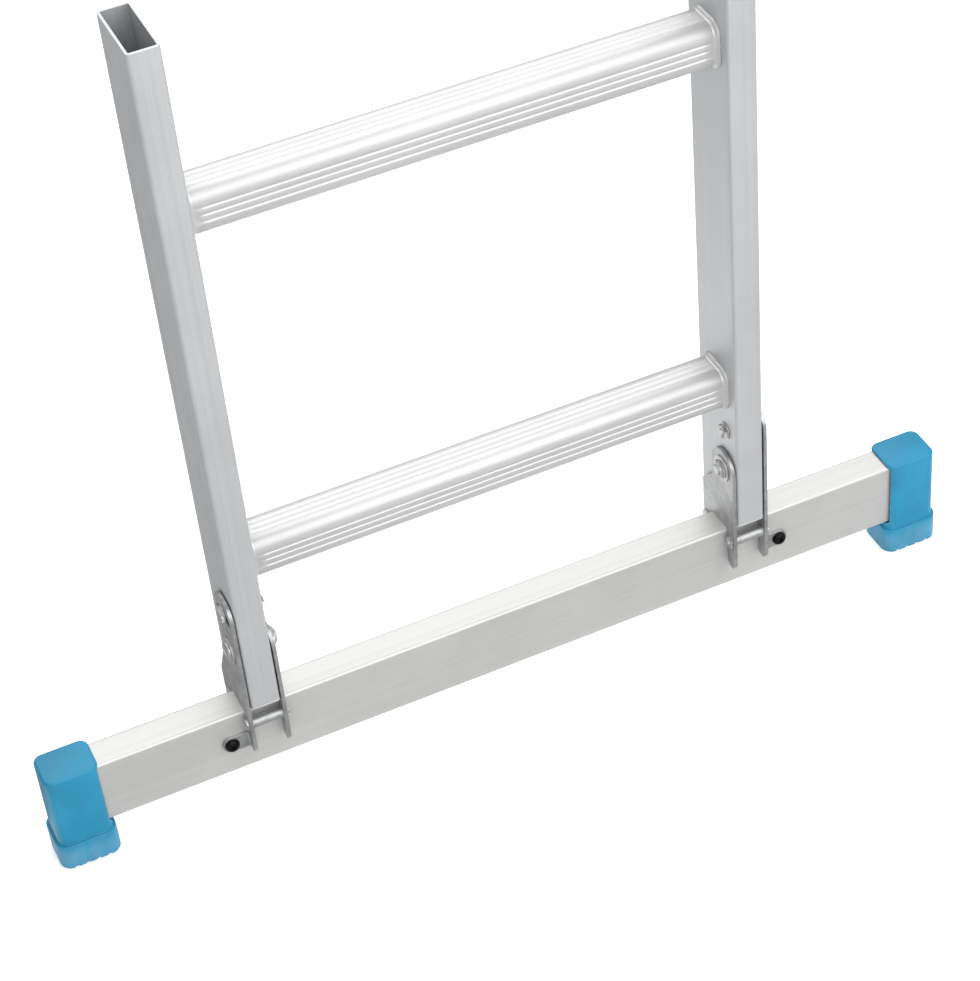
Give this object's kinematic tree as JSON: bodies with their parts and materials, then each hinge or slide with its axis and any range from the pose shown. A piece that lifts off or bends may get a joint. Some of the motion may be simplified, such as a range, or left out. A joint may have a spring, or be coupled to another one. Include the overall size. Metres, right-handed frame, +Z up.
{
  "type": "ladder foot",
  "caption": "Foot end of an aluminium ladder: box stiles and ribbed rungs, hinged by forked cheek plates on a wide stabiliser bar with moulded end feet.",
  "frame": {"origin": "on the floor, below the middle of the foot, half way through the stiles' depth", "axes": "+X along the bar and the rungs to the right foot, +Y from the ladder's front to its back, +Z up along the stiles"},
  "size_m": [0.697, 0.054, 0.615],
  "materials": {
    "bar_aluminium": "mill finish extrusion, satin",
    "stile_aluminium": "mill finish extrusion, satin",
    "rung_aluminium": "mill finish extrusion, satin, ribbed",
    "cheek_steel": "pressed plate, dull zinc plated",
    "zinc_steel": "zinc plated",
    "black_steel": "black oxide, satin",
    "foot_plastic": "injection moulded, blue, slight sheen",
    "plug_plastic": "injection moulded, grey",
    "nylon": "natural nylon",
    "bush_bronze": "plain bearing bronze"
  },
  "bodies": {
    "stabiliser": {"stabiliser_bar": "bar_aluminium", "left_foot": "foot_plastic", "right_foot": "foot_plastic", "left_outer_cheek": "cheek_steel", "right_outer_cheek": "cheek_steel", "left_inner_cheek": "cheek_steel", "right_inner_cheek": "cheek_steel", "left_pivot_bolt": "zinc_steel", "right_pivot_bolt": "zinc_steel", "pivot_washers": "zinc_steel", "pivot_lock_nuts": "zinc_steel", "friction_washers": "nylon", "leg_bolts": "zinc_steel", "leg_spacers": "zinc_steel", "leg_nuts": "zinc_steel", "bar_screws": "black_steel", "bar_sleeves": "zinc_steel", "bar_washers": "zinc_steel", "bar_nuts": "zinc_steel"},
    "ladder": {"left_stile": "stile_aluminium", "right_stile": "stile_aluminium", "lower_rung": "rung_aluminium", "upper_rung": "rung_aluminium", "left_stile_plug": "plug_plastic", "right_stile_plug": "plug_plastic", "left_pivot_bush": "bush_bronze", "right_pivot_bush": "bush_bronze", "stop_bolts": "zinc_steel", "stop_sleeves": "zinc_steel", "stop_washers": "zinc_steel", "stop_nuts": "zinc_steel"}
  },
  "joints": [
    {"name": "ladder_lean", "type": "hinge", "parent": "stabiliser", "child": "ladder", "pos_m": [0, -0.011, 0.136], "axis": [-1, 0, 0], "range_deg": [-15, 15]}
  ]
}
